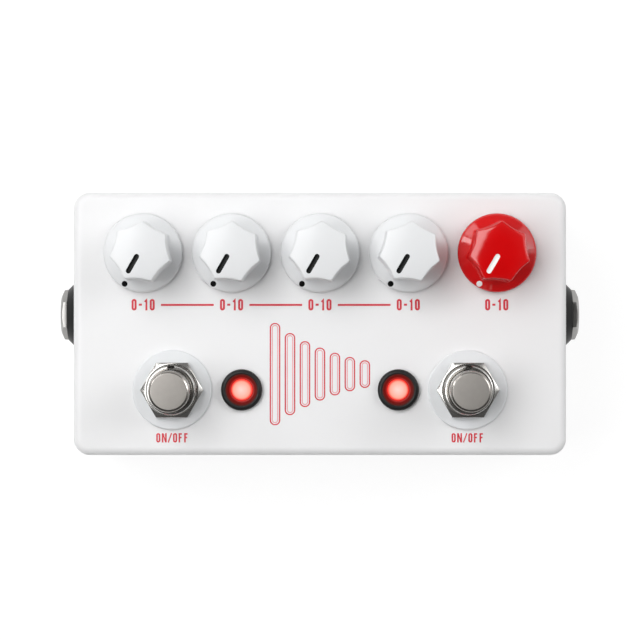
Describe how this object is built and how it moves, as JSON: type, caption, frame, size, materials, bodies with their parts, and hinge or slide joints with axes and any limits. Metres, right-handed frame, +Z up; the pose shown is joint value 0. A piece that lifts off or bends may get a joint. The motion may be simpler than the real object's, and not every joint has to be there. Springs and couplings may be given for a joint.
{
  "type": "delay pedal",
  "caption": "Low rectangular floor pedal with a row of pointer knobs at the rear, sprung footswitches and lit lamps at the front, plug jacks in the side walls and a power socket behind.",
  "frame": {"origin": "on the floor under the middle of the case, level with the underside of the rubber feet", "axes": "+X to the player's right along the case's long side, +Y to the rear edge behind the dials, +Z up"},
  "size_m": [0.131, 0.065, 0.06],
  "materials": {
    "case_paint": "satin white powder coat",
    "zinc_steel": "bright",
    "foot_rubber": "matte",
    "board_laminate": "satin",
    "black_plastic": "satin",
    "capacitor_sleeve": "gloss",
    "pot_steel": "dull",
    "nickel": "polished",
    "satin_nickel": "satin",
    "switch_plastic": "gloss",
    "nylon": "translucent white",
    "contact_metal": "bright",
    "lamp_red": "lit, glossy",
    "knob_white": "gloss",
    "knob_red": "gloss",
    "shaft_metal": "turned",
    "black_steel": "blackened"
  },
  "bodies": {
    "chassis": {"enclosure": "case_paint", "base_plate": "case_paint", "base_screws": "zinc_steel", "rubber_feet": "foot_rubber", "main_board": "board_laminate", "control_board": "board_laminate", "board_header": "black_plastic", "board_chips": "black_plastic", "board_capacitors": "capacitor_sleeve", "pot_nuts": "zinc_steel", "pot_washers": "zinc_steel", "left_switch_bushing": "nickel", "right_switch_bushing": "nickel", "left_switch_body": "switch_plastic", "right_switch_body": "switch_plastic", "left_switch_spring": "zinc_steel", "right_switch_spring": "zinc_steel", "switch_nuts": "nickel", "switch_washers": "nylon", "switch_inner_nuts": "nickel", "switch_lugs": "contact_metal", "left_lamp_bezel": "black_plastic", "right_lamp_bezel": "black_plastic", "left_lamp": "lamp_red", "right_lamp": "lamp_red", "lamp_leads": "zinc_steel", "input_jack_body": "black_plastic", "output_jack_body": "black_plastic", "jack_nuts": "nickel", "jack_washers": "black_plastic", "jack_contacts": "contact_metal", "power_socket": "black_plastic", "power_socket_pin": "nickel", "time_pot": "pot_steel", "mix_pot": "pot_steel", "repeats_pot": "pot_steel", "tone_pot": "pot_steel", "boost_pot": "pot_steel"},
    "time_dial": {"time_knob": "knob_white", "time_shaft": "shaft_metal", "time_set_screw": "black_steel"},
    "mix_dial": {"mix_knob": "knob_white", "mix_shaft": "shaft_metal", "mix_set_screw": "black_steel"},
    "repeats_dial": {"repeats_knob": "knob_white", "repeats_shaft": "shaft_metal", "repeats_set_screw": "black_steel"},
    "tone_dial": {"tone_knob": "knob_white", "tone_shaft": "shaft_metal", "tone_set_screw": "black_steel"},
    "boost_dial": {"boost_knob": "knob_red", "boost_shaft": "shaft_metal", "boost_set_screw": "black_steel"},
    "left_footswitch": {"left_button": "satin_nickel"},
    "right_footswitch": {"right_button": "satin_nickel"}
  },
  "joints": [
    {"name": "time_turn", "type": "hinge", "parent": "chassis", "child": "time_dial", "pos_m": [-0.0437, 0.01755, 0.05], "axis": [0, 0, -1], "range_deg": [0, 300]},
    {"name": "mix_turn", "type": "hinge", "parent": "chassis", "child": "mix_dial", "pos_m": [-0.02185, 0.01755, 0.05], "axis": [0, 0, -1], "range_deg": [0, 300]},
    {"name": "repeats_turn", "type": "hinge", "parent": "chassis", "child": "repeats_dial", "pos_m": [0, 0.01755, 0.05], "axis": [0, 0, -1], "range_deg": [0, 300]},
    {"name": "tone_turn", "type": "hinge", "parent": "chassis", "child": "tone_dial", "pos_m": [0.02185, 0.01755, 0.05], "axis": [0, 0, -1], "range_deg": [0, 300]},
    {"name": "boost_turn", "type": "hinge", "parent": "chassis", "child": "boost_dial", "pos_m": [0.0437, 0.01755, 0.05], "axis": [0, 0, -1], "range_deg": [0, 300]},
    {"name": "left_press", "type": "slide", "parent": "chassis", "child": "left_footswitch", "axis": [0, 0, -1], "range_m": [0, 0.0025], "stiffness_N_per_m": 1600, "springref_m": -0.002, "deforming": ["left_switch_spring"]},
    {"name": "right_press", "type": "slide", "parent": "chassis", "child": "right_footswitch", "axis": [0, 0, -1], "range_m": [0, 0.0025], "stiffness_N_per_m": 1600, "springref_m": -0.002, "deforming": ["right_switch_spring"]}
  ]
}
